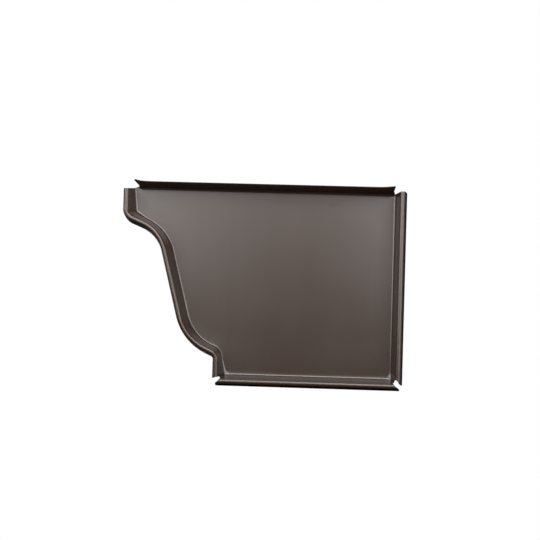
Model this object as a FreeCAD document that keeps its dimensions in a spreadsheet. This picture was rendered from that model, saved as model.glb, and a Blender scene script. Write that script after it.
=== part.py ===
import FreeCAD, Part
import math
import os

import Sketcher

# Gutter end cap for a five inch ogee gutter, folded from one painted sheet.
# X runs from the front of the gutter to its back, Y along the gutter and into it, Z up.
# The origin is the middle of the panel, on the face that is turned to the gutter.
# Lengths are in millimetres, leans and angles in degrees.

dimensions = {
    # Sheet
    "sheet_thickness": 0.7,
    # Panel outline, on the line where the rim's bend begins
    "panel_width": 119.0,
    "panel_height": 84.0,
    "ogee_width": 43.5,
    "lip_drop": 10.0,
    "lip_angle": 21.5,
    "lip_radius": 0.8,
    "cove_width": 15.4,
    "cove_radius": 22.4,
    "belly_width": 15.4,
    "belly_angle": 25.0,
    "belly_radius": 18.8,
    "step_height": 11.3,
    "step_radius": 7.2,
    # Rim that folds over the end of the gutter
    "bend_radius": 0.9,
    "wall_lean": 16.0,
    "crest_height": 8.5,
    "crest_radius": 0.6,
    "return_lean": 5.5,
    "return_overhang": 1.0,
    "front_rim_drop": 0.6,
    "back_rim_rise": 0.8,
    # Top flange, with ends that flare upwards
    "flange_run": 8.4,
    "flange_lean": 9.5,
    "flare_length": 7.0,
    "flare_lean": 4.5,
    "front_flange_reach": 0.4,
    "back_flange_reach": 0.9,
    # Relief cuts at the flange's two ends
    "front_relief_depth": 2.0,
    "front_relief_height": 1.2,
    "back_relief_depth": 0.7,
    "back_relief_height": 0.6,
    "relief_rise": 3.4,
    "relief_clearance": 3.0,
    # Slots at the two lower corners
    "front_slot_across": 2.1,
    "front_slot_down": 2.1,
    "front_slot_radius": 0.4,
    "front_slot_rim_angle": 32.5,
    "front_slot_floor_angle": 10.0,
    "back_slot_across": 2.7,
    "back_slot_down": 1.85,
    "back_slot_radius": 1.0,
    "back_slot_rim_angle": 4.0,
    "back_slot_floor_angle": 6.0,
}


def make_sheet(doc):
    sheet = doc.addObject("Spreadsheet::Sheet", "Sizes")
    for row, (alias, value) in enumerate(dimensions.items(), start=1):
        sheet.set(f"A{row}", alias)
        sheet.set(f"B{row}", str(value))
        sheet.setAlias(f"B{row}", alias)
    doc.recompute()
    return sheet


def size(alias):
    return float(dimensions[alias])


def heading(degrees):
    angle = math.radians(degrees)
    return FreeCAD.Vector(math.cos(angle), math.sin(angle), 0)


# Sketch helpers

def new_sketch(body, name, role, offset=None):
    plane = next(item for item in body.Origin.OriginFeatures if item.Role == role)
    sketch = body.newObject("Sketcher::SketchObject", name)
    sketch.AttachmentSupport = [(plane, "")]
    sketch.MapMode = "FlatFace"
    if offset:
        sketch.setExpression("AttachmentOffset.Base.z", offset)
    return sketch


def add_line(sketch, start, end):
    return sketch.addGeometry(Part.LineSegment(start, end))


# An arc is stored counter-clockwise, so its two ends are given back in the order of travel.
def add_arc(sketch, start, direction, radius, turn):
    side = 1 if turn > 0 else -1
    normal = FreeCAD.Vector(-direction.y, direction.x, 0) * side
    centre = start + normal * radius
    first = math.atan2(start.y - centre.y, start.x - centre.x)
    last = first + math.radians(turn)
    circle = Part.Circle(centre, FreeCAD.Vector(0, 0, 1), radius)
    index = sketch.addGeometry(Part.ArcOfCircle(circle, min(first, last), max(first, last)))
    ends = (1, 2) if turn > 0 else (2, 1)
    end = centre + FreeCAD.Vector(math.cos(last), math.sin(last), 0) * radius
    return index, ends, end


def join(sketch, kind, *places):
    sketch.addConstraint(Sketcher.Constraint(kind, *places))


# A driving dimension starts at what the first drawing measures, and then follows its expression.
def dimension(sketch, kind, places, expression):
    if kind == "Radius":
        value = sketch.Geometry[places[0]].Radius
    elif kind == "Angle":
        value = sketch.Geometry[places[0]]
        value = math.atan2(value.EndPoint.y - value.StartPoint.y, value.EndPoint.x - value.StartPoint.x)
    else:
        span = sketch.getPoint(places[2], places[3]) - sketch.getPoint(places[0], places[1])
        value = {"DistanceX": span.x, "DistanceY": span.y, "Distance": span.Length}[kind]
    index = sketch.addConstraint(Sketcher.Constraint(kind, *places, value))
    sketch.setExpression(f"Constraints[{index}]", expression)


origin_point = (-1, 1)


# Panel outline

# Corners of the outline before they are rounded, from the front's top round to the back's top.
def outline_corners(front_top, back_top):
    front = -size("panel_width") / 2
    back = size("panel_width") / 2
    bottom = -size("panel_height") / 2
    lip = FreeCAD.Vector(front, size("panel_height") / 2 - size("lip_drop"), 0)
    cove_fall = size("cove_width") * math.tan(math.radians(size("lip_angle")))
    cove = lip + FreeCAD.Vector(size("cove_width"), -cove_fall, 0)
    step = FreeCAD.Vector(front + size("ogee_width"), bottom + size("step_height"), 0)
    belly_rise = size("belly_width") * math.tan(math.radians(size("belly_angle")))
    belly = step + FreeCAD.Vector(-size("belly_width"), belly_rise, 0)
    return [
        FreeCAD.Vector(front, front_top, 0),
        lip,
        cove,
        belly,
        step,
        FreeCAD.Vector(step.x, bottom, 0),
        FreeCAD.Vector(back, bottom, 0),
        FreeCAD.Vector(back, back_top, 0),
    ]


# The ogee runs down the front as straight runs joined by tangent arcs; the two lower corners stay sharp.
def draw_outline(sketch, front_top, back_top, front_top_rule, back_top_rule):
    corners = outline_corners(front_top, back_top)
    radius_names = {1: "lip_radius", 2: "cove_radius", 3: "belly_radius", 4: "step_radius"}
    starts = list(corners[:-1])
    ends = list(corners[1:])
    turns = {}
    for corner, name in radius_names.items():
        arriving = (corners[corner] - corners[corner - 1]).normalize()
        leaving = (corners[corner + 1] - corners[corner]).normalize()
        across = arriving.x * leaving.y - arriving.y * leaving.x
        turns[corner] = math.degrees(math.asin(across))
        setback = size(name) * math.tan(math.radians(abs(turns[corner])) / 2)
        ends[corner - 1] = corners[corner] - arriving * setback
        starts[corner] = corners[corner] + leaving * setback
    runs = [add_line(sketch, start, end) for start, end in zip(starts, ends)]
    for corner in range(1, len(corners) - 1):
        if corner not in radius_names:
            join(sketch, "Coincident", runs[corner - 1], 2, runs[corner], 1)
            continue
        direction = (ends[corner - 1] - starts[corner - 1]).normalize()
        radius = size(radius_names[corner])
        arc, arc_ends, _ = add_arc(sketch, ends[corner - 1], direction, radius, turns[corner])
        join(sketch, "Tangent", runs[corner - 1], 2, arc, arc_ends[0])
        join(sketch, "Tangent", arc, arc_ends[1], runs[corner], 1)
        dimension(sketch, "Radius", (arc,), f"Sizes.{radius_names[corner]}")
    lip_run, belly_run, floor_run, back_run = runs[1], runs[3], runs[5], runs[6]
    for run in (runs[0], runs[4], back_run):
        join(sketch, "Vertical", run)
    join(sketch, "Horizontal", floor_run)
    dimension(sketch, "Angle", (lip_run,), "-Sizes.lip_angle * 1 deg")
    dimension(sketch, "Angle", (belly_run,), "-Sizes.belly_angle * 1 deg")
    points = {}
    for corner in radius_names:
        points[corner] = sketch.addGeometry(Part.Point(corners[corner]), True)
        join(sketch, "PointOnObject", points[corner], 1, runs[corner - 1])
        join(sketch, "PointOnObject", points[corner], 1, runs[corner])
    lip_point, cove_point, belly_point, step_point = ((points[corner], 1) for corner in radius_names)
    dimension(sketch, "DistanceX", lip_point + origin_point, "Sizes.panel_width / 2")
    dimension(sketch, "DistanceY", origin_point + lip_point, "Sizes.panel_height / 2 - Sizes.lip_drop")
    dimension(sketch, "DistanceX", lip_point + cove_point, "Sizes.cove_width")
    dimension(sketch, "DistanceX", belly_point + step_point, "Sizes.belly_width")
    dimension(sketch, "DistanceX", lip_point + step_point, "Sizes.ogee_width")
    dimension(sketch, "DistanceY", (floor_run, 1) + step_point, "Sizes.step_height")
    dimension(sketch, "DistanceX", origin_point + (back_run, 1), "Sizes.panel_width / 2")
    dimension(sketch, "DistanceY", (floor_run, 1) + origin_point, "Sizes.panel_height / 2")
    dimension(sketch, "DistanceY", origin_point + (runs[0], 1), front_top_rule)
    dimension(sketch, "DistanceY", origin_point + (back_run, 2), back_top_rule)
    return runs


def make_panel(body):
    sketch = new_sketch(body, "PanelOutline", "XZ_Plane")
    top = size("panel_height") / 2
    runs = draw_outline(sketch, top, top, "Sizes.panel_height / 2", "Sizes.panel_height / 2")
    fold = add_line(sketch, sketch.getPoint(runs[-1], 2), sketch.getPoint(runs[0], 1))
    join(sketch, "Coincident", runs[-1], 2, fold, 1)
    join(sketch, "Coincident", fold, 2, runs[0], 1)
    pad = body.newObject("PartDesign::Pad", "Panel")
    pad.Profile = sketch
    pad.setExpression("Length", "Sizes.sheet_thickness")
    return pad


# Folded sections

# One face of the sheet, from the panel's edge on: bends and straight runs in turn.
def draw_skin(sketch, start, angle, steps):
    pieces = []
    place = start
    for kind, amount, turn in steps:
        direction = heading(angle)
        if kind == "bend":
            index, ends, place = add_arc(sketch, place, direction, amount, turn)
            angle += turn
        else:
            end = place + direction * amount
            index, ends = add_line(sketch, place, end), (1, 2)
            place = end
        if pieces:
            join(sketch, "Tangent", pieces[-1][0], pieces[-1][1][1], index, ends[0])
        pieces.append((index, ends))
    return pieces, place


# Closes two skins into the section of a sheet whose ends are square to it.
def close_section(sketch, front, back, front_end, back_end):
    front_start = sketch.getPoint(front[0][0], front[0][1][0])
    back_start = sketch.getPoint(back[0][0], back[0][1][0])
    root = add_line(sketch, back_start, front_start)
    edge = add_line(sketch, front_end, back_end)
    join(sketch, "Coincident", root, 1, back[0][0], back[0][1][0])
    join(sketch, "Coincident", root, 2, front[0][0], front[0][1][0])
    join(sketch, "Coincident", edge, 1, front[-1][0], front[-1][1][1])
    join(sketch, "Coincident", edge, 2, back[-1][0], back[-1][1][1])
    for (front_piece, _), (back_piece, _) in zip(front[0::2], back[0::2]):
        join(sketch, "Coincident", front_piece, 3, back_piece, 3)
    for (front_piece, _), (back_piece, _) in zip(front[1::2], back[1::2]):
        join(sketch, "Parallel", front_piece, back_piece)
    join(sketch, "PointOnObject", front[0][0], 3, root)
    join(sketch, "Perpendicular", edge, front[-1][0])
    dimension(sketch, "Distance", (root, 1, root, 2), "Sizes.sheet_thickness")
    dimension(sketch, "Radius", (front[0][0],), "Sizes.bend_radius")
    return root


# The rim's wall leans outwards to a round crest, and the return comes back beside it as the
# outer side of a channel for the gutter's end.
def draw_rim_section(sketch):
    thickness = size("sheet_thickness")
    bend = size("bend_radius")
    wall_turn = 90 - size("wall_lean")
    crest_turn = -(wall_turn + 90 - size("return_lean"))
    crest_outer = size("crest_radius") + thickness
    crest_centre = size("crest_height") - crest_outer
    wall_start = thickness + bend * (1 - math.cos(math.radians(wall_turn)))
    wall_end = crest_centre + crest_outer * math.cos(math.radians(wall_turn))
    wall_run = (wall_end - wall_start) / math.sin(math.radians(wall_turn))
    return_start = crest_centre + crest_outer * math.sin(math.radians(size("return_lean")))
    return_run = (return_start + size("return_overhang")) / math.cos(math.radians(size("return_lean")))
    base = FreeCAD.Vector(-size("panel_width") / 2, 0, 0)
    outwards = 180
    lift = heading(outwards + 90) * thickness

    def steps(bend_size, crest_size):
        return [
            ("bend", bend_size, wall_turn),
            ("run", wall_run, 0),
            ("bend", crest_size, crest_turn),
            ("run", return_run, 0),
        ]

    front, front_end = draw_skin(sketch, base + lift, outwards, steps(bend, crest_outer))
    back, back_end = draw_skin(sketch, base, outwards, steps(bend + thickness, size("crest_radius")))
    root = close_section(sketch, front, back, front_end, back_end)
    wall, crest, outer = (front[index][0] for index in (1, 2, 3))
    join(sketch, "Vertical", root)
    join(sketch, "Horizontal", root, 1, *origin_point)
    dimension(sketch, "DistanceX", (root, 1) + origin_point, "Sizes.panel_width / 2")
    dimension(sketch, "Angle", (wall,), "-(90 + Sizes.wall_lean) * 1 deg")
    dimension(sketch, "Angle", (outer,), "(90 + Sizes.return_lean) * 1 deg")
    dimension(sketch, "Radius", (back[2][0],), "Sizes.crest_radius")
    crest_rule = "Sizes.crest_height - Sizes.crest_radius - Sizes.sheet_thickness"
    dimension(sketch, "DistanceY", (crest, 3) + origin_point, crest_rule)
    dimension(sketch, "DistanceY", origin_point + (outer, 2), "Sizes.return_overhang")


def make_rim(body):
    path = new_sketch(body, "RimPath", "XZ_Plane")
    top = size("panel_height") / 2
    front_rule = "Sizes.panel_height / 2 - Sizes.front_rim_drop"
    back_rule = "Sizes.panel_height / 2 + Sizes.back_rim_rise"
    draw_outline(path, top - size("front_rim_drop"), top + size("back_rim_rise"), front_rule, back_rule)
    section = new_sketch(body, "RimSection", "XY_Plane", front_rule)
    draw_rim_section(section)
    rim = body.newObject("PartDesign::AdditivePipe", "Rim")
    rim.Profile = section
    rim.Spine = path
    rim.Mode = "Standard"
    rim.Transition = "Right corner"
    return rim


# Top flange

def draw_flange_section(sketch, extra_lean, extra_rule):
    thickness = size("sheet_thickness")
    bend = size("bend_radius")
    turn = 90 - size("flange_lean") - extra_lean
    base = FreeCAD.Vector(0, size("panel_height") / 2, 0)
    upwards = 90
    lift = heading(upwards + 90) * thickness

    def steps(bend_size):
        return [("bend", bend_size, turn), ("run", size("flange_run"), 0)]

    front, front_end = draw_skin(sketch, base + lift, upwards, steps(bend))
    back, back_end = draw_skin(sketch, base, upwards, steps(bend + thickness))
    root = close_section(sketch, front, back, front_end, back_end)
    leaf = front[1][0]
    join(sketch, "Horizontal", root)
    join(sketch, "Vertical", root, 1, *origin_point)
    dimension(sketch, "DistanceY", origin_point + (root, 1), "Sizes.panel_height / 2")
    dimension(sketch, "Angle", (leaf,), f"(180 - Sizes.flange_lean - {extra_rule}) * 1 deg")
    dimension(sketch, "Distance", (leaf, 1, leaf, 2), "Sizes.flange_run")


# The middle of the flange is straight, and the last stretch at each end leans further and further.
def make_flange(body):
    end_rules = {side: f"(Sizes.panel_width / 2 + Sizes.{side}_flange_reach)" for side in ("front", "back")}
    middle = new_sketch(body, "FlangeSection", "YZ_Plane", f"Sizes.flare_length - {end_rules['front']}")
    draw_flange_section(middle, 0, "0")
    flange = body.newObject("PartDesign::Pad", "Flange")
    flange.Profile = middle
    flange.setExpression("Length", f"{end_rules['front']} + {end_rules['back']} - 2 * Sizes.flare_length")
    for side, sign in (("front", -1), ("back", 1)):
        sections = []
        for share in (0, 0.5, 1):
            place = f"{sign} * ({end_rules[side]} - {1 - share} * Sizes.flare_length)"
            section = new_sketch(body, f"{side.capitalize()}Flare{len(sections)}", "YZ_Plane", place)
            growth = share ** 2
            draw_flange_section(section, size("flare_lean") * growth, f"{growth} * Sizes.flare_lean")
            sections.append(section)
        flare = body.newObject("PartDesign::AdditiveLoft", f"{side.capitalize()}Flare")
        flare.Profile = sections[0]
        flare.Sections = sections[1:]


# Cuts

def cut_through(body, sketch, name):
    pocket = body.newObject("PartDesign::Pocket", name)
    pocket.Profile = sketch
    pocket.Type = "ThroughAll"
    pocket.SideType = "Symmetric"
    return pocket


# Notch that frees one end of the flange from the rim beside it.
def make_relief(body, side, sign, rim_top, rim_rule):
    sketch = new_sketch(body, f"{side.capitalize()}ReliefOutline", "XZ_Plane")
    top = size("panel_height") / 2
    end = size("panel_width") / 2 + size(f"{side}_flange_reach")
    outside = end + size("relief_clearance")
    apex = end - size(f"{side}_relief_depth")
    above = top + size("relief_rise")
    corners = [
        FreeCAD.Vector(sign * apex, top + size(f"{side}_relief_height"), 0),
        FreeCAD.Vector(sign * end, above, 0),
        FreeCAD.Vector(sign * end, above + size("relief_clearance"), 0),
        FreeCAD.Vector(sign * outside, above + size("relief_clearance"), 0),
        FreeCAD.Vector(sign * outside, rim_top, 0),
    ]
    count = len(corners)
    sides = [add_line(sketch, corners[index], corners[(index + 1) % count]) for index in range(count)]
    for index in range(count):
        join(sketch, "Coincident", sides[index], 2, sides[(index + 1) % count], 1)
    join(sketch, "Vertical", sides[1])
    join(sketch, "Horizontal", sides[2])
    join(sketch, "Vertical", sides[3])
    end_rule = f"Sizes.panel_width / 2 + Sizes.{side}_flange_reach"
    top_rule = "Sizes.panel_height / 2"

    def across(place):
        return place + origin_point if sign < 0 else origin_point + place

    dimension(sketch, "DistanceX", across((sides[0], 1)), f"{end_rule} - Sizes.{side}_relief_depth")
    dimension(sketch, "DistanceX", across((sides[1], 1)), end_rule)
    dimension(sketch, "DistanceX", across((sides[3], 1)), f"{end_rule} + Sizes.relief_clearance")
    dimension(sketch, "DistanceY", origin_point + (sides[0], 1), f"{top_rule} + Sizes.{side}_relief_height")
    dimension(sketch, "DistanceY", origin_point + (sides[1], 1), f"{top_rule} + Sizes.relief_rise")
    dimension(sketch, "DistanceY", (sides[1], 1, sides[1], 2), "Sizes.relief_clearance")
    dimension(sketch, "DistanceY", origin_point + (sides[4], 1), rim_rule)
    return cut_through(body, sketch, f"{side.capitalize()}Relief")


# Slot that splits a lower corner near its mitre: round at its inner end, wider towards the outside.
# It points down and away from the panel, forwards for a sign of -1 and backwards for 1.
def make_slot(body, name, sign, corner, corner_rule):
    sketch = new_sketch(body, f"{name.capitalize()}SlotOutline", "XZ_Plane")
    radius = size(f"{name}_slot_radius")
    reach = 2 * size("crest_height")
    mitre = -90 + sign * 45
    rim_angle = mitre + sign * size(f"{name}_slot_rim_angle")
    floor_angle = mitre - sign * size(f"{name}_slot_floor_angle")
    centre = corner + FreeCAD.Vector(sign * size(f"{name}_slot_across"), -size(f"{name}_slot_down"), 0)
    start = centre + heading(floor_angle - sign * 90) * radius
    turn = sign * (abs(rim_angle - floor_angle) - 180)
    inner, ends, finish = add_arc(sketch, start, heading(floor_angle + 180), radius, turn)
    floor_side = add_line(sketch, start, start + heading(floor_angle) * reach)
    rim_side = add_line(sketch, finish, finish + heading(rim_angle) * reach)
    mouth = add_line(sketch, sketch.getPoint(floor_side, 2), sketch.getPoint(rim_side, 2))
    join(sketch, "Tangent", floor_side, 1, inner, ends[0])
    join(sketch, "Tangent", rim_side, 1, inner, ends[1])
    join(sketch, "Coincident", floor_side, 2, mouth, 1)
    join(sketch, "Coincident", rim_side, 2, mouth, 2)
    join(sketch, "Equal", floor_side, rim_side)
    dimension(sketch, "Radius", (inner,), f"Sizes.{name}_slot_radius")
    dimension(sketch, "Angle", (rim_side,), f"({mitre} + {sign} * Sizes.{name}_slot_rim_angle) * 1 deg")
    dimension(sketch, "Angle", (floor_side,), f"({mitre} - {sign} * Sizes.{name}_slot_floor_angle) * 1 deg")
    dimension(sketch, "Distance", (rim_side, 1, rim_side, 2), "2 * Sizes.crest_height")
    along = f"{corner_rule} + {sign} * Sizes.{name}_slot_across"
    dimension(sketch, "DistanceX", origin_point + (inner, 3), along)
    depth = f"Sizes.panel_height / 2 + Sizes.{name}_slot_down"
    dimension(sketch, "DistanceY", (inner, 3) + origin_point, depth)
    return cut_through(body, sketch, f"{name.capitalize()}Slot")


def make_cuts(body):
    top = size("panel_height") / 2
    front_rule = "Sizes.panel_height / 2 - Sizes.front_rim_drop"
    back_rule = "Sizes.panel_height / 2 + Sizes.back_rim_rise"
    make_relief(body, "front", -1, top - size("front_rim_drop"), front_rule)
    make_relief(body, "back", 1, top + size("back_rim_rise"), back_rule)
    back_corner = FreeCAD.Vector(size("panel_width") / 2, -top, 0)
    front_corner = FreeCAD.Vector(size("ogee_width") - size("panel_width") / 2, -top, 0)
    make_slot(body, "front", -1, front_corner, "Sizes.ogee_width - Sizes.panel_width / 2")
    make_slot(body, "back", 1, back_corner, "Sizes.panel_width / 2")


def check(doc, body):
    failed = [item.Name for item in doc.Objects if {"Invalid", "Error"} & set(item.State)]
    if failed:
        raise RuntimeError(f"not built: {failed}")
    idle = []
    for pocket in (item for item in body.Group if item.TypeId == "PartDesign::Pocket"):
        if pocket.Shape.Volume > pocket.BaseFeature.Shape.Volume - 1e-3:
            idle.append(pocket.Name)
    if idle:
        raise RuntimeError(f"cuts nothing: {idle}")
    if body.Shape.isNull() or not body.Shape.isValid() or len(body.Shape.Solids) != 1:
        raise RuntimeError("the cap is not one sound solid")


def main():
    doc = FreeCAD.newDocument("gutter_end_cap")
    make_sheet(doc)
    body = doc.addObject("PartDesign::Body", "EndCap")
    body.Label = "end_cap"
    make_panel(body)
    make_rim(body)
    make_flange(body)
    make_cuts(body)
    doc.recompute()
    check(doc, body)
    os.makedirs("parts", exist_ok=True)
    body.Shape.exportStep(f"parts/{body.Label}.step")
    box = body.Shape.BoundBox
    print(f"{body.Label}: {body.Shape.Volume:.1f} mm3, {len(body.Shape.Faces)} faces")
    print(f"{box.XLength:.2f} mm wide, {box.YLength:.2f} mm deep, {box.ZLength:.2f} mm high")


main()
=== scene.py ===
import math

import bmesh
import bpy
from mathutils import Matrix, Vector
from mathutils.geometry import delaunay_2d_cdt
from mathutils.kdtree import KDTree


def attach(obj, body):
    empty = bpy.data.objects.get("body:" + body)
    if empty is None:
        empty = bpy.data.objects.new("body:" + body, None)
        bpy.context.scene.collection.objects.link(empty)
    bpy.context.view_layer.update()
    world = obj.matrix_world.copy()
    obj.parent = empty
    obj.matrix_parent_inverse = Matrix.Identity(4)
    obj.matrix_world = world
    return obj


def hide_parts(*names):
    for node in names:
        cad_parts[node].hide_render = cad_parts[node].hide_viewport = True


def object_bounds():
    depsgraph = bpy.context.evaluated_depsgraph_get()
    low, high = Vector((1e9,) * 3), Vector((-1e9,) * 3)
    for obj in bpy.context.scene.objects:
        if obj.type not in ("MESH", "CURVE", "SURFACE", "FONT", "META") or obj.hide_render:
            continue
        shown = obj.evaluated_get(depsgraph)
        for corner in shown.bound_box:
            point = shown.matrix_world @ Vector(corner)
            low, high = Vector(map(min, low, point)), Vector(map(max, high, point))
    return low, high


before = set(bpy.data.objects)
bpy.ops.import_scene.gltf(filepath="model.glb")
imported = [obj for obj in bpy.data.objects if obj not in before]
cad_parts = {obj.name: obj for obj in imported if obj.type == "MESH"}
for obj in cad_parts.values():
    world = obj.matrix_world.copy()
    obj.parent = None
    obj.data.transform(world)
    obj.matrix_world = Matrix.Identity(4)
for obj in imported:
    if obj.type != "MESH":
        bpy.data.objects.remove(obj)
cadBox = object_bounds()
scene = bpy.context.scene
mm = 0.001


def linearColour(hexText):
    channels = [int(hexText[start:start + 2], 16) / 255 for start in (1, 3, 5)]
    return [c / 12.92 if c <= 0.04045 else ((c + 0.055) / 1.055) ** 2.4 for c in channels] + [1]


def addNode(tree, kind, settings={}, inputs={}):
    node = tree.nodes.new(kind)
    for name, value in settings.items():
        setattr(node, name, value)
    for key, value in inputs.items():
        if isinstance(value, bpy.types.NodeSocket):
            tree.links.new(value, node.inputs[key])
        else:
            node.inputs[key].default_value = value
    return node


def newMaterial(name):
    material = bpy.data.materials.new(name)
    material.use_nodes = True
    material.node_tree.nodes.clear()
    return material, material.node_tree


def addObject(name, data):
    item = bpy.data.objects.new(name, data)
    scene.collection.objects.link(item)
    return item


# camera: a long lens a little below the cap and to its right, turned slightly clockwise
cameraView = {
    "place": (58.17, -847.67, -31.18),   # mm
    "yaw": 3.7, "pitch": 2.5, "roll": 1.75, "upright": 90.0,   # degrees
    "lens": 123.0, "sensor": 36.0,   # mm
    "near": 0.01, "far": 20.0,   # m
}
cameraData = bpy.data.cameras.new("camera")
cameraData.lens = cameraView["lens"]
cameraData.sensor_width = cameraView["sensor"]
cameraData.clip_start = cameraView["near"]
cameraData.clip_end = cameraView["far"]
camera = addObject("camera", cameraData)
turn = Matrix.Rotation(math.radians(cameraView["yaw"]), 4, "Z")
turn = turn @ Matrix.Rotation(math.radians(cameraView["pitch"]), 4, "X")
turn = turn @ Matrix.Rotation(math.radians(-cameraView["roll"]), 4, "Y")
turn = turn @ Matrix.Rotation(math.radians(cameraView["upright"]), 4, "X")
camera.matrix_world = Matrix.Translation(Vector(cameraView["place"]) * mm) @ turn
scene.camera = camera
print("camera placed")

# satin polyester on coil aluminium: even brown, faint rolling streaks, orange peel too fine to see one by one
paint = {
    "brown": "#2c2018", "deepBrown": "#2a1e17",
    "streakWidth": 9.0, "streakLength": 90.0, "streakRange": (0.3, 0.7),   # mm, mm, span of the noise
    "gloss": 0.2, "dull": 0.26, "cloudSize": 38.0, "cloudRange": (0.25, 0.75),   # roughness, mm, span of the noise
    "peelSize": 0.9, "peelDepth": 0.0035,   # mm
    "refraction": 1.5, "shine": 0.5, "burnish": 0.2,
    # the last three set the place, size and colour of a small painted shade patch below the flange
    "shadePatchPlace": (31.4, -0.65, 36.7), "shadePatchSize": (3.4, 0.6, 0.9), "shadePatchBrown": "#15110e",   # mm
}
coilCoat, tree = newMaterial("coilCoatedAluminium")
place = addNode(tree, "ShaderNodeTexCoord").outputs["Object"]
streakMap = addNode(tree, "ShaderNodeMapping", {}, {
    "Vector": place, "Scale": (1 / (paint["streakWidth"] * mm), 1, 1 / (paint["streakLength"] * mm))})
streaks = addNode(tree, "ShaderNodeTexNoise", {}, {
    "Vector": streakMap.outputs[0], "Scale": 1.0, "Detail": 2.0, "Roughness": 0.5})
colour = addNode(tree, "ShaderNodeValToRGB", {}, {"Fac": streaks.outputs["Fac"]})
for stop, position, name in zip(colour.color_ramp.elements, paint["streakRange"], ("deepBrown", "brown")):
    stop.position = position
    stop.color = linearColour(paint[name])
clouds = addNode(tree, "ShaderNodeTexNoise", {}, {
    "Vector": place, "Scale": 1 / (paint["cloudSize"] * mm), "Detail": 3.0, "Roughness": 0.55})
sheen = addNode(tree, "ShaderNodeMapRange", {}, {
    "Value": clouds.outputs["Fac"], "From Min": paint["cloudRange"][0], "From Max": paint["cloudRange"][1],
    "To Min": paint["gloss"], "To Max": paint["dull"]})
# painted shade: one small dark patch just below the flange, on the right, where darker paint stands in for weaker
# sheen; mixed in through the colour sockets, 6 and 7
shadePatchMap = addNode(tree, "ShaderNodeMapping", {"vector_type": "TEXTURE"}, {
    "Vector": place, "Location": [c * mm for c in paint["shadePatchPlace"]],
    "Scale": [c * mm for c in paint["shadePatchSize"]]})
paintedShadePatch = addNode(tree, "ShaderNodeTexGradient", {"gradient_type": "SPHERICAL"}, {"Vector": shadePatchMap.outputs[0]})
colour = addNode(tree, "ShaderNodeMix", {"data_type": "RGBA"}, {
    "Factor": paintedShadePatch.outputs["Fac"], 6: colour.outputs["Color"], 7: linearColour(paint["shadePatchBrown"])})
peel = addNode(tree, "ShaderNodeTexNoise", {}, {
    "Vector": place, "Scale": 1 / (paint["peelSize"] * mm), "Detail": 1.0, "Roughness": 0.5})
bump = addNode(tree, "ShaderNodeBump", {}, {
    "Height": peel.outputs["Fac"], "Strength": 1.0, "Distance": paint["peelDepth"] * mm})
# the paint is taken to be burnished by the press along the bends, which catch the light a little more
burnish = addNode(tree, "ShaderNodeAttribute", {"attribute_name": "burnish"}).outputs["Fac"]
shine = addNode(tree, "ShaderNodeMath", {"operation": "MULTIPLY_ADD"}, {
    0: burnish, 1: paint["burnish"], 2: paint["shine"]})
shader = addNode(tree, "ShaderNodeBsdfPrincipled", {}, {
    "Base Color": colour.outputs[2], "Roughness": sheen.outputs[0], "IOR": paint["refraction"],
    "Specular IOR Level": shine.outputs[0], "Normal": bump.outputs["Normal"]})
addNode(tree, "ShaderNodeOutputMaterial", {}, {"Surface": shader.outputs["BSDF"]})

# the cut edge: dull and nearly black
edgeFinish = {
    "dark": "#0a0808", "light": "#15110f", "grainSize": 0.8,   # mm
    "roughness": 0.8, "refraction": 1.5, "shine": 0.05,
}
shearedEdge, tree = newMaterial("shearedAluminiumEdge")
place = addNode(tree, "ShaderNodeTexCoord").outputs["Object"]
grain = addNode(tree, "ShaderNodeTexNoise", {}, {
    "Vector": place, "Scale": 1 / (edgeFinish["grainSize"] * mm), "Detail": 2.0, "Roughness": 0.5})
colour = addNode(tree, "ShaderNodeValToRGB", {}, {"Fac": grain.outputs["Fac"]})
for stop, name in zip(colour.color_ramp.elements, ("dark", "light")):
    stop.color = linearColour(edgeFinish[name])
shader = addNode(tree, "ShaderNodeBsdfPrincipled", {}, {
    "Base Color": colour.outputs["Color"], "Roughness": edgeFinish["roughness"],
    "IOR": edgeFinish["refraction"], "Specular IOR Level": edgeFinish["shine"]})
addNode(tree, "ShaderNodeOutputMaterial", {}, {"Surface": shader.outputs["BSDF"]})
print("paint made")

# the cap: one sheet, a flat panel with folded runs round it; lengths in mm, angles in degrees
cap = {
    "thickness": 0.7, "panelWidth": 119.0, "panelHeight": 84.0, "ogeeWidth": 43.5,
    "lipDrop": 10.5, "lipAngle": 22.5, "lipRadius": 0.8, "coveWidth": 15.4, "coveRadius": 22.4,
    "bellyWidth": 15.4, "bellyAngle": 25.0, "bellyRadius": 18.8, "stepHeight": 10.8, "stepRadius": 7.2,
    "bendRadius": 0.9, "wallLean": 16.0, "crestHeight": 8.5, "crestRadius": 0.6,
    "returnLean": 5.5, "returnOverhang": 1.0, "frontRimDrop": 0.6,
    "flangeRun": 8.4, "flangeLean": 9.5, "flareLength": 7.0, "flareLean": 3.5,
    "shiftSpan": 3.0, "rowSpacing": 0.2, "columnSpacing": 2.0, "arcSteps": 16, "flangeSteps": 48,
    "weldReach": 0.003, "bendLineReach": 1e-6, "burnishFade": 2.0,
    "edgeRound": 0.1, "edgeSegments": 2, "edgeAngle": 50.0,
    "cornerReach": 1.2, "cornerPasses": 4, "cornerSmoothing": 0.5,
}
# the panel's slight dish and ripple, and the grid that it is filled with; mm
dish = {
    "depth": 0.12, "reach": 7.0, "footShare": 0.3, "footReach": 16.0,
    "rippleDepth": 0.012, "rippleLength": 46.0, "rippleSkew": 0.4,
    "crossStretch": 0.8, "crossSkew": 0.3, "crossPhase": 1.0,
    "fineGrid": 1.0, "coarseGrid": 4, "clearance": 0.6, "rimSplit": 8, "tolerance": 1e-5,
}
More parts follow.
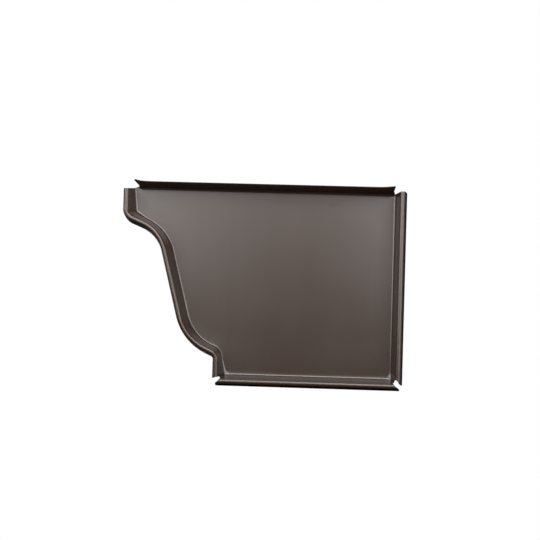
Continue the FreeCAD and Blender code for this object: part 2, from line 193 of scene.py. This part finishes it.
# the bend line's shift at each corner and along the top, where the real fold is drawn over; mm
baseShifts = {
    "top": (-0.4, 0, 0.4), "lip": (1.0, 0, 0.1), "cove": (0.3, 0, -0.9), "belly": (0.35, 0, -0.7),
    "step": (-1.2, 0, 0.2), "foot": (0.9, 0, 0), "flange": (0, 0, -0.65), "backTop": (0, 0, -1.1),
}
frontSlot = {"across": 2.1, "down": 2.1, "radius": 0.4, "rimAngle": 32.5, "floorAngle": 10.0}
backSlot = {"across": 2.7, "down": 1.85, "radius": 1.0, "rimAngle": 4.0, "floorAngle": 6.0}
# how far the ends at the top go past their corners, as (distance across the run, reach); mm
topCuts = {
    "backRim": [(0, 0), (0.4, 1.3), (3.0, 1.0)],
    "flangeBack": [(0, 0), (0.3, 0.25), (1.0, 0.3), (1.4, -0.15), (3.4, 0.9)],
    "flangeFront": [(0, 0), (0.7, -1.6), (3.4, 0.5)],
}


def makeFoldTree():
    tree = bpy.data.node_groups.new("foldAlongPath", "GeometryNodeTree")
    sockets = {
        "Path": "NodeSocketGeometry", "Section start": "NodeSocketVector", "Bend corner": "NodeSocketVector",
        "Crest corner": "NodeSocketVector", "Section end": "NodeSocketVector", "Bend radius": "NodeSocketFloat",
        "Crest radius": "NodeSocketFloat", "Row spacing": "NodeSocketFloat", "Arc steps": "NodeSocketInt",
        "Shift span": "NodeSocketFloat", "Sheet thickness": "NodeSocketFloat", "Paint": "NodeSocketMaterial",
    }
    for name, kind in sockets.items():
        tree.interface.new_socket(name, in_out="INPUT", socket_type=kind)
    tree.interface.new_socket("Sheet", in_out="OUTPUT", socket_type="NodeSocketGeometry")
    given = addNode(tree, "NodeGroupInput").outputs
    index = addNode(tree, "GeometryNodeInputIndex").outputs[0]

    # the section's four corners, two of them rounded
    cornerNames = ("Section start", "Bend corner", "Crest corner", "Section end")
    corners = addNode(tree, "GeometryNodeIndexSwitch", {"data_type": "VECTOR"}, {"Index": index})
    radii = addNode(tree, "GeometryNodeIndexSwitch", {"data_type": "FLOAT"}, {"Index": index})
    for switch in (corners, radii):
        switch.index_switch_items.new()
        switch.index_switch_items.new()
    for number, name in enumerate(cornerNames, start=1):
        tree.links.new(given[name], corners.inputs[number])
    tree.links.new(given["Bend radius"], radii.inputs[2])
    tree.links.new(given["Crest radius"], radii.inputs[3])
    line = addNode(tree, "GeometryNodeMeshLine", {}, {"Count": len(cornerNames)})
    line = addNode(tree, "GeometryNodeSetPosition", {}, {
        "Geometry": line.outputs[0], "Position": corners.outputs[0]})
    line = addNode(tree, "GeometryNodeMeshToCurve", {}, {"Mesh": line.outputs[0]})
    line = addNode(tree, "GeometryNodeFilletCurve", {"mode": "POLY"}, {
        "Curve": line.outputs[0], "Count": given["Arc steps"], "Radius": radii.outputs[0]})
    section = addNode(tree, "GeometryNodeResampleCurve", {"mode": "LENGTH"}, {
        "Curve": line.outputs[0], "Length": given["Row spacing"]}).outputs[0]

    # the path, with its corners rounded
    radius = addNode(tree, "GeometryNodeInputNamedAttribute", {"data_type": "FLOAT"}, {"Name": "cornerRadius"})
    path = addNode(tree, "GeometryNodeMeshToCurve", {}, {"Mesh": given["Path"]})
    path = addNode(tree, "GeometryNodeFilletCurve", {"mode": "POLY"}, {
        "Curve": path.outputs[0], "Count": given["Arc steps"], "Radius": radius.outputs[0]}).outputs[0]

    # one vertex for each path point and section point
    columns = addNode(tree, "GeometryNodeAttributeDomainSize", {"component": "CURVE"}, {0: path}).outputs[0]
    rows = addNode(tree, "GeometryNodeAttributeDomainSize", {"component": "CURVE"}, {0: section}).outputs[0]
    sheet = addNode(tree, "GeometryNodeMeshGrid", {}, {"Vertices X": columns, "Vertices Y": rows}).outputs[0]
    column = addNode(tree, "FunctionNodeIntegerMath", {"operation": "DIVIDE_FLOOR"},
                     {0: index, 1: rows}).outputs[0]
    row = addNode(tree, "FunctionNodeIntegerMath", {"operation": "MODULO"}, {0: index, 1: rows}).outputs[0]
    position = addNode(tree, "GeometryNodeInputPosition").outputs[0]
    tangent = addNode(tree, "GeometryNodeInputTangent").outputs[0]
    lift = addNode(tree, "GeometryNodeInputNamedAttribute", {"data_type": "FLOAT"}, {"Name": "lift"}).outputs[0]
    shift = addNode(tree, "GeometryNodeInputNamedAttribute", {"data_type": "FLOAT_VECTOR"},
                    {"Name": "baseShift"}).outputs[0]
    vectors = {"data_type": "FLOAT_VECTOR", "domain": "POINT"}
    place = addNode(tree, "GeometryNodeSampleIndex", vectors, {
        "Geometry": path, "Value": position, "Index": column}).outputs[0]
    travel = addNode(tree, "GeometryNodeSampleIndex", vectors, {
        "Geometry": path, "Value": tangent, "Index": column}).outputs[0]
    shift = addNode(tree, "GeometryNodeSampleIndex", vectors, {
        "Geometry": path, "Value": shift, "Index": column}).outputs[0]
    lift = addNode(tree, "GeometryNodeSampleIndex", {"data_type": "FLOAT", "domain": "POINT"}, {
        "Geometry": path, "Value": lift, "Index": column}).outputs[0]
    profile = addNode(tree, "GeometryNodeSampleIndex", vectors, {
        "Geometry": section, "Value": position, "Index": row}).outputs[0]
    profile = addNode(tree, "ShaderNodeSeparateXYZ", {}, {0: profile}).outputs
    across, height = profile[0], profile[1]

    # across the path and towards the viewer, with the bend line shifted where the path says so
    outward = addNode(tree, "ShaderNodeVectorMath", {"operation": "CROSS_PRODUCT"},
                      {0: (0, 1, 0), 1: travel}).outputs[0]
    rise = addNode(tree, "ShaderNodeMath", {"operation": "SUBTRACT"},
                   {0: height, 1: given["Sheet thickness"]}).outputs[0]
    lifted = addNode(tree, "ShaderNodeMath", {"operation": "MULTIPLY_ADD"},
                     {0: lift, 1: rise, 2: across}).outputs[0]
    share = addNode(tree, "ShaderNodeMapRange", {"clamp": True}, {
        "Value": across, "From Min": 0.0, "From Max": given["Shift span"],
        "To Min": 1.0, "To Max": 0.0}).outputs[0]
    total = place
    for direction, length in ((outward, lifted), (shift, share), ((0, -1, 0), height)):
        part = addNode(tree, "ShaderNodeVectorMath", {"operation": "SCALE"}, {0: direction, "Scale": length})
        total = addNode(tree, "ShaderNodeVectorMath", {"operation": "ADD"},
                        {0: total, 1: part.outputs[0]}).outputs[0]
    sheet = addNode(tree, "GeometryNodeSetPosition", {}, {"Geometry": sheet, "Position": total}).outputs[0]
    for name, kind, value in (("column", "INT", column), ("across", "FLOAT", across)):
        sheet = addNode(tree, "GeometryNodeStoreNamedAttribute", {"data_type": kind, "domain": "POINT"},
                        {"Geometry": sheet, "Name": name, "Value": value}).outputs[0]
    sheet = addNode(tree, "GeometryNodeRealizeInstances", {}, {0: sheet}).outputs[0]
    sheet = addNode(tree, "GeometryNodeSetMaterial", {}, {
        "Geometry": sheet, "Material": given["Paint"]}).outputs[0]
    addNode(tree, "NodeGroupOutput", {}, {0: sheet})
    return tree


foldTree = makeFoldTree()


# corners of the rim's section: across the path, and towards the viewer from the panel's back
def rimSection():
    lean = math.radians(cap["wallLean"])
    returnLean = math.radians(cap["returnLean"])
    outer = cap["crestRadius"] + cap["thickness"]
    setback = cap["bendRadius"] * math.tan((math.pi / 2 - lean) / 2)
    crestLevel = cap["crestHeight"] - outer
    wallAcross = setback + (crestLevel - cap["thickness"]) * math.tan(lean)
    centre = wallAcross + outer / math.cos(lean)
    returnAcross = centre + outer / math.cos(returnLean)   # on the return, at the level of the crest's centre
    above = (returnAcross - wallAcross) / (math.tan(lean) + math.tan(returnLean))
    apex = (wallAcross + above * math.tan(lean), crestLevel + above)
    end = (returnAcross + (crestLevel + cap["returnOverhang"]) * math.tan(returnLean), -cap["returnOverhang"])
    return [(0, cap["thickness"]), (setback, cap["thickness"]), apex, end], outer


def flangeSection():
    lean = math.radians(cap["flangeLean"])
    setback = cap["bendRadius"] * math.tan((math.pi / 2 - lean) / 2)
    corner = Vector((setback, cap["thickness"]))
    heading = Vector((math.sin(lean), math.cos(lean)))
    reach = setback + cap["flangeRun"]
    return [(0, cap["thickness"]), corner, corner + heading * reach / 2, corner + heading * reach], 0.0


# how far each side of a corner slot lets its run go past the corner, at a distance across the run
def slotRim(across, slot):
    angle = math.radians(45 - slot["rimAngle"])
    beside, below, radius = slot["across"], slot["down"], slot["radius"]
    if across < beside - radius:
        return across
    if across < beside + radius * math.sin(angle):
        return min(across, below - math.sqrt(radius ** 2 - (across - beside) ** 2))
    edge = below - radius * math.cos(angle) + (across - beside - radius * math.sin(angle)) * math.tan(angle)
    return min(across, edge)


def slotFloor(across, slot):
    angle = math.radians(45 + slot["floorAngle"])
    beside, below, radius = slot["across"], slot["down"], slot["radius"]
    if across < below - radius:
        return across
    if across < below + radius * math.cos(angle):
        return min(across, beside - math.sqrt(radius ** 2 - (across - below) ** 2))
    edge = beside - radius * math.sin(angle) + (across - below - radius * math.cos(angle)) / math.tan(angle)
    return min(across, edge)


def between(value, stops):
    for (start, low), (end, high) in zip(stops, stops[1:]):
        if value <= end:
            return low + (high - low) * (value - start) / (end - start)
    return stops[-1][1]


halfWidth, halfHeight = cap["panelWidth"] / 2, cap["panelHeight"] / 2
lip = Vector((-halfWidth, 0, halfHeight - cap["lipDrop"]))
cove = lip + Vector((1, 0, -math.tan(math.radians(cap["lipAngle"])))) * cap["coveWidth"]
step = Vector((cap["ogeeWidth"] - halfWidth, 0, cap["stepHeight"] - halfHeight))
belly = step + Vector((-1, 0, math.tan(math.radians(cap["bellyAngle"])))) * cap["bellyWidth"]
foot = Vector((step.x, 0, -halfHeight))
backFoot = Vector((halfWidth, 0, -halfHeight))
backTop = Vector((halfWidth, 0, halfHeight))
frontTop = Vector((-halfWidth, 0, halfHeight))
noShift = (0, 0, 0)
flaredLean = math.radians(cap["flangeLean"] + cap["flareLean"])
flareSlope = math.tan(flaredLean) - math.tan(math.radians(cap["flangeLean"]))
flangePath = []
for number in range(cap["flangeSteps"] + 1):
    reach = cap["panelWidth"] * number / cap["flangeSteps"]
    nearEnd = min(reach, cap["panelWidth"] - reach)
    flare = max(0, 1 - nearEnd / cap["flareLength"]) ** 2 * flareSlope
    shift = Vector(baseShifts["backTop"]).lerp(Vector(baseShifts["flange"]), number / cap["flangeSteps"])
    if number == cap["flangeSteps"]:
        shift = baseShifts["top"]
    flangePath.append((backTop - Vector((reach, 0, 0)), 0, flare, shift))
# each run: its path as (corner, rounding, flare, shift), its section, and how its two ends are cut
runs = {
    "front": {
        "path": [
            (frontTop, 0, 0, baseShifts["top"]), (lip, cap["lipRadius"], 0, baseShifts["lip"]),
            (cove, cap["coveRadius"], 0, baseShifts["cove"]), (belly, cap["bellyRadius"], 0, baseShifts["belly"]),
            (step, cap["stepRadius"], 0, baseShifts["step"]), (foot, 0, 0, baseShifts["foot"]),
        ],
        "section": rimSection(),
        "start": lambda across: -cap["frontRimDrop"] * min(1, across / cap["shiftSpan"]),
        "end": lambda across: slotRim(across, frontSlot),
    },
    "floor": {
        "path": [(foot, 0, 0, baseShifts["foot"]), (backFoot, 0, 0, noShift)],
        "section": rimSection(),
        "start": lambda across: slotFloor(across, frontSlot),
        "end": lambda across: slotFloor(across, backSlot),
    },
    "back": {
        "path": [(backFoot, 0, 0, noShift), (backTop, 0, 0, baseShifts["backTop"])],
        "section": rimSection(),
        "start": lambda across: slotRim(across, backSlot),
        "end": lambda across: between(across, topCuts["backRim"]),
    },
    "flange": {
        "path": flangePath,
        "section": flangeSection(),
        "start": lambda across: between(across, topCuts["flangeBack"]),
        "end": lambda across: between(across, topCuts["flangeFront"]),
    },
}


def sweepRun(name, run):
    mesh = bpy.data.meshes.new(name)
    places = [place * mm for place, _, _, _ in run["path"]]
    mesh.from_pydata(places, [(number, number + 1) for number in range(len(places) - 1)], [])
    radius = mesh.attributes.new("cornerRadius", "FLOAT", "POINT")
    lift = mesh.attributes.new("lift", "FLOAT", "POINT")
    shift = mesh.attributes.new("baseShift", "FLOAT_VECTOR", "POINT")
    for number, (_, rounding, flare, move) in enumerate(run["path"]):
        radius.data[number].value = rounding * mm
        lift.data[number].value = flare
        shift.data[number].vector = Vector(move) * mm
    strip = addObject(name, mesh)
    fold = strip.modifiers.new("fold", "NODES")
    fold.node_group = foldTree
    corners, crest = run["section"]
    start, bend, top, end = (Vector((corner[0], corner[1], 0)) * mm for corner in corners)
    values = {
        "Section start": start, "Bend corner": bend, "Crest corner": top, "Section end": end,
        "Bend radius": cap["bendRadius"] * mm, "Crest radius": crest * mm, "Row spacing": cap["rowSpacing"] * mm,
        "Arc steps": cap["arcSteps"], "Shift span": cap["shiftSpan"] * mm,
        "Sheet thickness": cap["thickness"] * mm, "Paint": coilCoat,
    }
    for item in foldTree.interface.items_tree:
        if item.name in values:
            fold[item.identifier] = values[item.name]
    bpy.context.view_layer.update()
    swept = bpy.data.meshes.new_from_object(strip.evaluated_get(bpy.context.evaluated_depsgraph_get()))
    strip.modifiers.clear()
    bpy.data.objects.remove(strip)
    # cut the two ends; the flange's cuts go by the height above the panel
    startTravel = (places[1] - places[0]).normalized()
    endTravel = (places[-1] - places[-2]).normalized()
    columns = [item.value for item in swept.attributes["column"].data]
    across = [item.value / mm for item in swept.attributes["across"].data]
    last = max(columns)
    for vertex, column, distance in zip(swept.vertices, columns, across):
        if name == "flange":
            _, _, _, endShift = run["path"][0 if column == 0 else -1]
            raised = endShift[2] * max(0, 1 - distance / cap["shiftSpan"])
            distance = vertex.co.z / mm - halfHeight - raised
        if column == 0:
            vertex.co -= startTravel * run["start"](distance) * mm
        if column == last:
            vertex.co += endTravel * run["end"](distance) * mm
    # long straight stretches get more columns
    form = bmesh.new()
    form.from_mesh(swept)
    columnLayer = form.verts.layers.int["column"]
    strips = {}
    for edge in form.edges:
        first, second = sorted(vertex[columnLayer] for vertex in edge.verts)
        if first != second:
            strips.setdefault(first, []).append(edge)
    for edges in strips.values():
        cuts = int(max(edge.calc_length() for edge in edges) / (cap["columnSpacing"] * mm))
        if cuts > 1:
            bmesh.ops.subdivide_edges(form, edges=edges, cuts=cuts, use_grid_fill=True)
    form.to_mesh(swept)
    form.free()
    return swept


# how far the panel lies behind the bends: drawn up a little towards them, with a faint ripple over the flat
def panelDepth(spot, distance):
    away = min(1, distance / dish["reach"])
    turn = 2 * math.pi / dish["rippleLength"]
    wave = turn * (spot.x + dish["rippleSkew"] * spot.y)
    crossWave = turn * (dish["crossStretch"] * spot.y - dish["crossSkew"] * spot.x) + dish["crossPhase"]
    ripple = math.sin(wave) * math.cos(crossWave)
    share = min(1, max(dish["footShare"], (spot.y + halfHeight) / dish["footReach"]))
    return dish["depth"] * share * (1 - (1 - away) ** 2) + dish["rippleDepth"] * ripple * away ** 2


# the panel inside the bend line: a coarse grid of points, finer near the bends
def fillPanel(form, bendLine):
    beside = {}
    for edge in bendLine:
        for vertex in edge.verts:
            beside.setdefault(vertex, []).append(edge.other_vert(vertex))
    loop = [bendLine[0].verts[0]]
    while True:
        onward = [vertex for vertex in beside[loop[-1]] if vertex not in loop[-2:]]
        if not onward or onward[0] is loop[0]:
            break
        loop.append(onward[0])
    outline = [Vector((vertex.co.x, vertex.co.z)) / mm for vertex in loop]
    count, split, grid = len(outline), dish["rimSplit"], dish["fineGrid"]
    rim = KDTree(count * split)
    for number, (start, end) in enumerate(zip(outline, outline[1:] + outline[:1])):
        for part in range(split):
            rim.insert(start.lerp(end, part / split).to_3d(), number * split + part)
    rim.balance()
    spots = list(outline)
    across, up = int(halfWidth / grid), int(halfHeight / grid)
    for column in range(-across, across + 1):
        for row in range(-up, up + 1):
            spot = Vector((column, row)) * grid
            away = rim.find(spot.to_3d())[2]
            coarse = column % dish["coarseGrid"] == 0 and row % dish["coarseGrid"] == 0
            if away > grid * dish["clearance"] and (coarse or away < dish["reach"] + grid):
                spots.append(spot)
    filled = delaunay_2d_cdt(spots, [], [list(range(count))], 1, dish["tolerance"])
    filledSpots, filledFaces, origins = filled[0], filled[2], filled[3]
    made = {}
    faces = []
    for corners in filledFaces:
        for corner in corners:
            if corner in made:
                continue
            source = [origin for origin in origins[corner] if origin < count]
            if source:
                made[corner] = loop[source[0]]
            else:
                spot = filledSpots[corner]
                depth = panelDepth(spot, rim.find(spot.to_3d())[2])
                made[corner] = form.verts.new(Vector((spot.x, depth - cap["thickness"], spot.y)) * mm)
        faces.append(form.faces.new([made[corner] for corner in corners]))
    return faces


sheetMesh = bmesh.new()
for name, run in runs.items():
    swept = sweepRun(name, run)
    sheetMesh.from_mesh(swept)
    print(name, "run swept,", len(swept.polygons), "faces")
    bpy.data.meshes.remove(swept)
bmesh.ops.remove_doubles(sheetMesh, verts=sheetMesh.verts, dist=cap["weldReach"] * mm)
acrossLayer = sheetMesh.verts.layers.float["across"]
bendLine = [edge for edge in sheetMesh.edges if edge.is_boundary
            and all(vertex[acrossLayer] < cap["bendLineReach"] * mm for vertex in edge.verts)]
panel = fillPanel(sheetMesh, bendLine)
print("panel filled,", len(bendLine), "edges,", len(panel), "faces")
# the press leaves the panel's two lower corners rounded
drawn = [vertex for vertex in sheetMesh.verts if not vertex.is_boundary
         and min((vertex.co / mm - corner).length for corner in (foot, backFoot)) < cap["cornerReach"]]
for _ in range(cap["cornerPasses"]):
    bmesh.ops.smooth_vert(sheetMesh, verts=drawn, factor=cap["cornerSmoothing"],
                          use_axis_x=True, use_axis_y=True, use_axis_z=True)
bmesh.ops.recalc_face_normals(sheetMesh, faces=sheetMesh.faces)
if panel[0].normal.y > 0:
    bmesh.ops.reverse_faces(sheetMesh, faces=sheetMesh.faces)
for face in sheetMesh.faces:
    face.smooth = True
# burnish: full over the lower half of each bend and gone at its top; the return's free edge gets it too
burnishLayer = sheetMesh.verts.layers.float.new("burnish")
acrossLayer = sheetMesh.verts.layers.float["across"]   # a new layer makes the first one stale
for vertex in sheetMesh.verts:
    height = -vertex.co.y / mm - cap["thickness"]
    if vertex[acrossLayer] > 0 and height < cap["bendRadius"]:
        vertex[burnishLayer] = min(1, cap["burnishFade"] - cap["burnishFade"] * height / cap["bendRadius"])
capMesh = bpy.data.meshes.new("endCap")
sheetMesh.to_mesh(capMesh)
sheetMesh.free()
for name in ("column", "across"):
    capMesh.attributes.remove(capMesh.attributes[name])
capMesh.materials.clear()
capMesh.materials.append(coilCoat)
capMesh.materials.append(shearedEdge)
endCap = addObject("endCap", capMesh)
sheet = endCap.modifiers.new("thickness", "SOLIDIFY")
sheet.thickness = cap["thickness"] * mm
sheet.offset = -1
sheet.use_even_offset = True
sheet.material_offset_rim = 1
rounding = endCap.modifiers.new("shearedEdges", "BEVEL")
rounding.width = cap["edgeRound"] * mm
rounding.segments = cap["edgeSegments"]
rounding.limit_method = "ANGLE"
rounding.angle_limit = math.radians(cap["edgeAngle"])
rounding.harden_normals = True
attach(endCap, "root")
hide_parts("end_cap")
print("cap folded")

# studio: white paper behind the picture's frame, in a room that is dim in front and light behind; m
studio = {
    "floorDrop": 0.75, "floorReach": 12.0,
    "backdropGap": 6.0, "backdropSides": (-1.5, 0.67), "backdropEnds": (-0.78, 1.36),
    "paper": "#f4f4f3", "white": "#ffffff", "glow": 1.0, "flagBlack": "#060606",
    "frontRoom": 0.16, "backRoom": 0.4, "roomTurn": (-0.1, 0.6), "lampAim": (0, 0, 0),
}
floorPaper, tree = newMaterial("floorPaper")
matte = addNode(tree, "ShaderNodeBsdfDiffuse", {}, {"Color": linearColour(studio["paper"])})
addNode(tree, "ShaderNodeOutputMaterial", {}, {"Surface": matte.outputs[0]})
# the backdrop glows white for the camera and in reflections, and is plain paper to all other light
paper, tree = newMaterial("whitePaper")
path = addNode(tree, "ShaderNodeLightPath")
seen = addNode(tree, "ShaderNodeMath", {"operation": "MAXIMUM"},
               {0: path.outputs["Is Camera Ray"], 1: path.outputs["Is Glossy Ray"]})
matte = addNode(tree, "ShaderNodeBsdfDiffuse", {}, {"Color": linearColour(studio["paper"])})
glow = addNode(tree, "ShaderNodeEmission", {}, {
    "Color": linearColour(studio["white"]), "Strength": studio["glow"]})
mix = addNode(tree, "ShaderNodeMixShader", {}, {0: seen.outputs[0], 1: matte.outputs[0], 2: glow.outputs[0]})
addNode(tree, "ShaderNodeOutputMaterial", {}, {"Surface": mix.outputs[0]})


def addSheet(name, corners, material):
    mesh = bpy.data.meshes.new(name)
    mesh.from_pydata(corners, [], [list(range(len(corners)))])
    mesh.materials.append(material)
    sheet = addObject(name, mesh)
    return sheet


low, wide = cadBox[0].z - studio["floorDrop"], studio["floorReach"]
addSheet("floor", [(-wide, -wide, low), (wide, -wide, low), (wide, wide, low), (-wide, wide, low)], floorPaper)
# three black flags, below, beside and under the lip, keep the white off the rim's outer sides, as the
# photograph's dark outline shows; the camera looks past them
flagCloth, tree = newMaterial("blackFlagCloth")
matte = addNode(tree, "ShaderNodeBsdfDiffuse", {}, {"Color": linearColour(studio["flagBlack"])})
addNode(tree, "ShaderNodeOutputMaterial", {}, {"Surface": matte.outputs[0]})
flags = {
    "lowFlag": [(-0.2, -0.3, -0.055), (0.2, -0.3, -0.055), (0.2, 0.22, -0.055), (-0.2, 0.22, -0.055)],
    "sideFlag": [(0.075, 0.01, -0.055), (0.075, 0.22, -0.055), (0.075, 0.22, 0.06), (0.075, 0.01, 0.06)],
    "lipFlag": [(-0.18, 0.03, 0.016), (-0.058, 0.03, 0.016), (-0.058, 0.25, 0.016), (-0.18, 0.25, 0.016)],
}
for name, corners in flags.items():
    flag = addSheet(name, corners, flagCloth)
    flag.visible_camera = False
    flag.visible_shadow = False
(left, right), (bottom, top) = studio["backdropSides"], studio["backdropEnds"]
gap = studio["backdropGap"]
addSheet("backdrop", [(left, gap, bottom), (right, gap, bottom), (right, gap, top), (left, gap, top)], paper)

world = bpy.data.worlds.new("studioRoom")
scene.world = world
world.use_nodes = True
tree = world.node_tree
tree.nodes.clear()
# the room is dim in front of the cap, as its dark reflections show, and light behind it
towards = addNode(tree, "ShaderNodeTexCoord").outputs["Generated"]
towards = addNode(tree, "ShaderNodeSeparateXYZ", {}, {0: towards})
level = addNode(tree, "ShaderNodeMapRange", {"interpolation_type": "SMOOTHSTEP"}, {
    "Value": towards.outputs["Y"], "From Min": studio["roomTurn"][0], "From Max": studio["roomTurn"][1],
    "To Min": studio["frontRoom"], "To Max": studio["backRoom"]})
air = addNode(tree, "ShaderNodeBackground", {}, {
    "Color": linearColour(studio["white"]), "Strength": level.outputs[0]})
addNode(tree, "ShaderNodeOutputWorld", {}, {"Surface": air.outputs[0]})

# soft lamps, all turned to the cap: places and sizes in m, power in W
lamps = {
    "leftSoftbox": {"place": (-0.373, -0.473, 0.065), "size": (0.57, 0.14), "power": 1.35},
    "rightSoftbox": {"place": (0.347, -0.374, 0.050), "size": (0.59, 0.21), "power": 1.6},
    "topSoftbox": {"place": (-0.02, -0.174, 0.176), "size": (0.28, 0.19), "power": 1.25},
    "frontRightCard": {"place": (0.132, -0.675, 0.148), "size": (0.23, 0.23), "power": 0.785},
    "frontLeftCard": {"place": (-0.148, -0.653, 0.128), "size": (0.24, 0.21), "power": 0.475},
    "backSoftbox": {"place": (-0.3, 0.8, 0.8), "size": (1.5, 1.2), "power": 26.0},
}
for name, lamp in lamps.items():
    data = bpy.data.lights.new(name, "AREA")
    data.shape = "RECTANGLE"
    data.size, data.size_y = lamp["size"]
    data.energy = lamp["power"]
    light = addObject(name, data)
    light.location = lamp["place"]
    light.visible_camera = False
    heading = Vector(studio["lampAim"]) - Vector(lamp["place"])
    light.rotation_euler = heading.to_track_quat("-Z", "Y").to_euler()
print("studio lit")

scene.view_settings.view_transform = "Standard"
